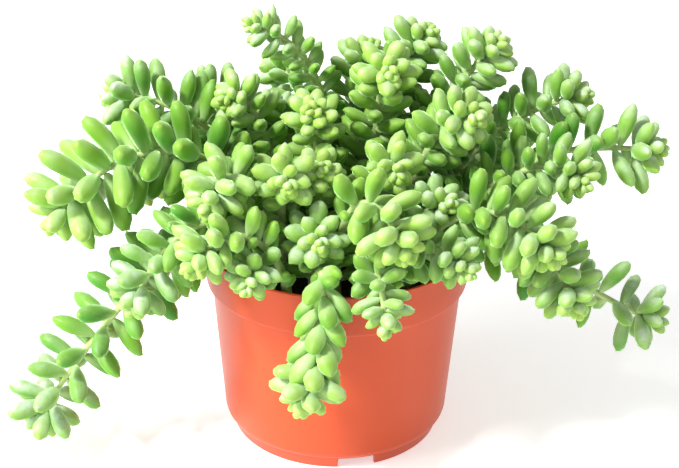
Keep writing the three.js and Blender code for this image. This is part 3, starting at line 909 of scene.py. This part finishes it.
def scatter_crumbs(count, largest):
    """Crumbs of many sizes and turns, lying on the soil inside the rim."""
    model = crumb_model()
    draw = random_from(SCATTER_SEED)
    crumbs = []
    for _ in range(count):
        angle, reach = 2 * math.pi * next(draw), CRUMB_REACH * math.sqrt(next(draw))
        size = largest * (0.25 + 0.75 * next(draw) ** 2)
        spin = Matrix.Rotation(6.3 * next(draw), 4, "Z") @ Matrix.Rotation(6.3 * next(draw), 4, "X")
        squash = Matrix.Diagonal((size, size * (0.6 + 0.4 * next(draw)), size * 0.6, 1))
        height = SOIL_TOP * MM + 0.0004 + 0.2 * size
        spot = Matrix.Translation((reach * math.cos(angle), reach * math.sin(angle), height))
        crumb = bpy.data.objects.new("crumb", model.data.copy())
        crumb.data.transform(spot @ spin @ squash)
        bpy.context.scene.collection.objects.link(crumb)
        crumbs.append(crumb)
    bpy.data.objects.remove(model)
    return crumbs


class BURROSTAIL_OT_soil(bpy.types.Operator):
    """Fills the pot with lumpy potting soil and scatters crumbs on it."""

    bl_idname = "burrostail.soil"
    bl_label = "Fill with soil"

    def execute(self, context):
        soil = context.scene.burrostail_soil
        bed = soil_bed()
        join_pieces([bed, *scatter_crumbs(soil.crumbs, soil.crumb_size)])
        shade_smooth(bed, 40)
        give_material(bed, soil_material(*shared_groups(), soil))
        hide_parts("soil")
        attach(bed, "root")
        return {"FINISHED"}


# ------------------------------------------------------------------ the plant

LEAF_RINGS = 8
LEAF_SIDES = 8
YOUNG_BELOW = 0.45  # how grown a leaf is when it stops looking young
FINGER_BELOW = 0.19  # half width over length of a finger-shaped leaf
UNDERSIDE_PAINTED_SHADE = 0.6  # painted shade: how much deeper in colour a leaf's underside is painted than its top
PAINTED_SHADE_MIDDLE = 0.55
WAX_BELOW = 0.02  # share of the bloom on an underside, and how much more a top has, as a painted highlight
TOP_PAINTED_HIGHLIGHT = 1.9
# Half width of a leaf at each ring from its root to its tip, where 0.5 is the widest.
BLUNT_FORM = (0.12, 0.250, 0.385, 0.475, 0.500, 0.415, 0.190)
POINTED_FORM = (0.11, 0.255, 0.405, 0.495, 0.485, 0.350, 0.135)
FINGER_FORM = (0.15, 0.310, 0.415, 0.480, 0.500, 0.435, 0.225)
YOUNG_FORM = (0.14, 0.310, 0.445, 0.500, 0.475, 0.365, 0.165)


def leaf_model(name, form, curl):
    """Models a leaf of unit length along +Z: a ball whose rings are resized to the form and
    pushed up towards its upper side, +Y, by the curl."""
    deselect_all()
    bpy.ops.mesh.primitive_uv_sphere_add(
        segments=LEAF_SIDES, ring_count=LEAF_RINGS, radius=0.5, location=(0, 0, 0.5)
    )
    leaf = bpy.context.object
    leaf.name = name
    place_in_mesh(leaf)
    bpy.ops.object.mode_set(mode="EDIT")
    for ring, half_width in enumerate(form, 1):
        slope = math.pi * ring / LEAF_RINGS
        height, radius = 0.5 - 0.5 * math.cos(slope), 0.5 * math.sin(slope)
        bpy.ops.mesh.select_all(action="DESELECT")
        bpy.ops.object.mode_set(mode="OBJECT")
        for vertex in leaf.data.vertices:
            vertex.select = abs(vertex.co.z - height) < 1e-3
        bpy.ops.object.mode_set(mode="EDIT")
        grow = half_width / radius
        bpy.ops.transform.resize(value=(grow, grow, 1), center_override=(0, 0, height))
        bpy.ops.transform.translate(value=(0, curl * (height * height - 0.35), 0))
    bpy.ops.object.mode_set(mode="OBJECT")
    along = leaf.data.attributes.new("along", "FLOAT", "POINT")
    along.data.foreach_set("value", np.array([v.co.z for v in leaf.data.vertices], np.float32))
    smooth_faces(leaf.data)
    return leaf


def leaf_kind(leaf):
    """Which model a leaf is a copy of."""
    if leaf["grown"] < YOUNG_BELOW:
        return "young"
    if leaf["half_width"] < FINGER_BELOW * leaf["length"]:
        return "finger"
    return "pointed" if leaf["tone"] > 0.6 else "blunt"


def leaf_copy(model, leaf):
    """A copy of the model with its own mesh and colours, set on the stem."""
    heading = Vector(leaf["heading"])
    across = Vector(leaf["along"]).cross(heading).normalized()
    up = heading.cross(across)
    width = 2 * leaf["half_width"] * (1 + YOUNG_SWELL * (1 - leaf["grown"])) * MM
    stand = Matrix.Identity(4)
    for column, axis in enumerate(
        (across * width, up * width * leaf["thickness"], heading * leaf["length"] * MM)
    ):
        stand.col[column] = (*axis, 0)
    stand.col[3] = (*(Vector(leaf["base"]) * MM), 1)
    mesh = model.data.copy()
    mesh.transform(stand)
    sky = upward(mesh)
    along = np.empty(len(mesh.vertices), np.float32)
    mesh.attributes["along"].data.foreach_get("value", along)
    set_value_attribute(mesh, "along", np.clip(along, 0, 1) ** leaf["pale_reach"])
    set_value_attribute(mesh, "tone", leaf["tone"])
    # Painted light: a leaf's underside is painted deeper green as painted shade, and its upward-facing
    # top gets extra pale bloom as a painted highlight.
    set_value_attribute(mesh, "age_and_painted_shade", leaf["age_and_painted_shade"] + UNDERSIDE_PAINTED_SHADE * (PAINTED_SHADE_MIDDLE - sky))
    set_value_attribute(mesh, "wax_and_painted_highlight", leaf["wax_and_painted_highlight"] * (WAX_BELOW + TOP_PAINTED_HIGHLIGHT * sky**3))
    return bpy.data.objects.new("leaf", mesh)


def stalk(name, line):
    """A stalk swept along the stem's curve, thinner towards its tip, and sunk into the soil."""
    deselect_all()
    bpy.ops.curve.primitive_bezier_curve_add()
    obj = bpy.context.object
    obj.name = name
    curve = obj.data
    curve.bevel_depth = MM
    curve.bevel_resolution = 2
    curve.resolution_u = 14
    curve.use_fill_caps = True
    curve.twist_mode = "MINIMUM"
    points = curve.splines[0].bezier_points
    points.add(1)
    root = Vector(line.p[0]) * MM
    sunk = Vector((root.x, root.y, (SOIL_TOP - HOLE_DEPTH) * MM))
    p1, p2, tip = (Vector(p) * MM for p in line.p[1:4])
    for point, spot, left, right, radius in (
        (points[0], sunk, sunk, sunk.lerp(root, 0.6), STEM_FOOT_RADIUS),
        (points[1], root, sunk.lerp(root, 0.5), p1, STEM_FOOT_RADIUS),
        (points[2], tip, p2, tip, STEM_TIP_RADIUS),
    ):
        point.handle_left_type = point.handle_right_type = "FREE"
        point.co, point.handle_left, point.handle_right = spot, left, right
        point.radius = radius
    select_only(obj)
    bpy.ops.object.convert(target="MESH")
    obj = bpy.context.object
    place_in_mesh(obj)
    smooth_faces(obj.data)
    return obj


class BURROSTAIL_OT_stems(bpy.types.Operator):
    """Grows every leafy stem: a stalk and its leaves, crowded into a rosette at the tip."""

    bl_idname = "burrostail.stems"
    bl_label = "Grow stems"

    def execute(self, context):
        plant = context.scene.burrostail_plant
        leaf_skin = leaf_material(*shared_groups(), plant)
        stalk_skin = stalk_material(*shared_groups(), plant)
        models = {
            "blunt": leaf_model("blunt_leaf_model", BLUNT_FORM, 0.22),
            "pointed": leaf_model("pointed_leaf_model", POINTED_FORM, 0.22),
            "finger": leaf_model("finger_leaf_model", FINGER_FORM, 0.30),
            "young": leaf_model("young_leaf_model", YOUNG_FORM, 0.10),
        }
        for model in models.values():
            give_material(model, leaf_skin)
        lines = [CentreLine(spec) for spec in STEMS.values()]
        for name, line, leaves in zip(STEMS, lines, grow_leaves(lines)):
            stem = stalk(f"leafy_stem_{name}", line)
            give_material(stem, stalk_skin)
            copies = [leaf_copy(models[leaf_kind(leaf)], leaf) for leaf in leaves]
            for copy in copies:
                context.scene.collection.objects.link(copy)
            join_pieces([stem, *copies])
            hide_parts(f"stem_{name}")
            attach(stem, "root")
        for model in models.values():
            bpy.data.objects.remove(model)
        return {"FINISHED"}


# ------------------------------------------------------------------ the stage


FLOOR_SIZE = 60
# Each light's width, its share of the key light's power, and its place.
LIGHTS = {
    "key_light": (0.3, 1.0, (-0.95, -0.75, 1.4)),
    "side_light": (0.9, 0.5, (-1.5, -0.6, 0.5)),
    "strip_light": (0.12, 0.03, (1.3, 0.4, 0.35)),
}
STRIP_LENGTH = 0.9
LIGHT_AIM = (0, 0, 0.1)
CAMERA_AIM = (0.0011, 0, 0.1003)
CAMERA_DISTANCE = 0.8
CAMERA_ELEVATION = 26
CAMERA_ROLL = 0.7
CAMERA_REACH = 80.0  # past the far edge of the floor


def soft_light(name, size, power, place):
    """A round soft light that faces the plant."""
    deselect_all()
    bpy.ops.object.light_add(type="AREA", location=place)
    light = bpy.context.object
    light.name = name
    light.data.shape = "DISK"
    light.data.size = size
    light.data.energy = power
    aim = Vector(LIGHT_AIM) - Vector(place)
    light.rotation_euler = aim.to_track_quat("-Z", "Y").to_euler()
    return light


def front_camera(lens):
    """A camera that looks down on the plant from the front, turned slightly about its line."""
    bpy.ops.object.camera_add()
    camera = bpy.context.object
    camera.name = "camera"
    camera.data.lens = lens
    camera.data.sensor_width = 36.0
    camera.data.clip_end = CAMERA_REACH
    elevation, roll = math.radians(CAMERA_ELEVATION), math.radians(CAMERA_ROLL)
    back = Vector((0, -math.cos(elevation), math.sin(elevation)))
    right = Vector((1, 0, 0))
    up = back.cross(right)
    turn = Matrix((
        right * math.cos(roll) + up * math.sin(roll),
        up * math.cos(roll) - right * math.sin(roll),
        back,
    )).transposed()
    place = Matrix.Translation(Vector(CAMERA_AIM) + back * CAMERA_DISTANCE)
    camera.matrix_world = place @ turn.to_4x4()
    return camera


class BURROSTAIL_OT_stage(bpy.types.Operator):
    """Sets up the plain floor, the soft lights and the camera."""

    bl_idname = "burrostail.stage"
    bl_label = "Set up stage"

    def execute(self, context):
        stage = context.scene.burrostail_stage
        deselect_all()
        bpy.ops.mesh.primitive_plane_add(size=FLOOR_SIZE, location=(0, 0, 0))
        floor = bpy.context.object
        floor.name = "plain_floor"
        paint = Finish("Plain floor")
        paint.set(Base_Color=(*stage.floor_colour, 1.0), Roughness=0.9)
        paint.set(Emission_Color=(1.0, 1.0, 1.0, 1.0), Emission_Strength=stage.floor_glow)
        give_material(floor, paint.material)

        world = bpy.data.worlds.new("Soft surround")
        world.use_nodes = True
        backdrop = world.node_tree.nodes["Background"]
        backdrop.inputs["Color"].default_value = (1, 1, 1, 1)
        backdrop.inputs["Strength"].default_value = stage.ambient
        context.scene.world = world

        lights = {
            name: soft_light(name, size, share * stage.key_power, place)
            for name, (size, share, place) in LIGHTS.items()
        }
        lights["side_light"].visible_glossy = False
        strip = lights["strip_light"].data
        strip.shape = "RECTANGLE"
        strip.size_y = STRIP_LENGTH

        context.scene.camera = front_camera(stage.lens)
        context.scene.view_settings.view_transform = "Standard"
        return {"FINISHED"}


class BURROSTAIL_PT_panel(bpy.types.Panel):
    """Lists the plant's pieces and their settings."""

    bl_idname = "BURROSTAIL_PT_panel"
    bl_label = "Burro's tail"
    bl_space_type = "VIEW_3D"
    bl_region_type = "UI"
    bl_category = "Burro's tail"

    def draw(self, context):
        scene = context.scene
        for group, operator in (
            (scene.burrostail_pot, BURROSTAIL_OT_pot),
            (scene.burrostail_soil, BURROSTAIL_OT_soil),
            (scene.burrostail_plant, BURROSTAIL_OT_stems),
            (scene.burrostail_stage, BURROSTAIL_OT_stage),
        ):
            box = self.layout.box()
            for name in group.__annotations__:
                box.prop(group, name)
            box.operator(operator.bl_idname)


CLASSES = (
    PotSettings,
    SoilSettings,
    PlantSettings,
    StageSettings,
    BURROSTAIL_OT_pot,
    BURROSTAIL_OT_soil,
    BURROSTAIL_OT_stems,
    BURROSTAIL_OT_stage,
    BURROSTAIL_PT_panel,
)


def register():
    for item in CLASSES:
        bpy.utils.register_class(item)
    scene = bpy.types.Scene
    scene.burrostail_pot = bpy.props.PointerProperty(type=PotSettings)
    scene.burrostail_soil = bpy.props.PointerProperty(type=SoilSettings)
    scene.burrostail_plant = bpy.props.PointerProperty(type=PlantSettings)
    scene.burrostail_stage = bpy.props.PointerProperty(type=StageSettings)


def unregister():
    scene = bpy.types.Scene
    del scene.burrostail_stage
    del scene.burrostail_plant
    del scene.burrostail_soil
    del scene.burrostail_pot
    for item in reversed(CLASSES):
        bpy.utils.unregister_class(item)


def main():
    register()
    bpy.ops.burrostail.pot()
    bpy.ops.burrostail.soil()
    bpy.ops.burrostail.stems()
    bpy.ops.burrostail.stage()


if __name__ == "__main__":
    main()
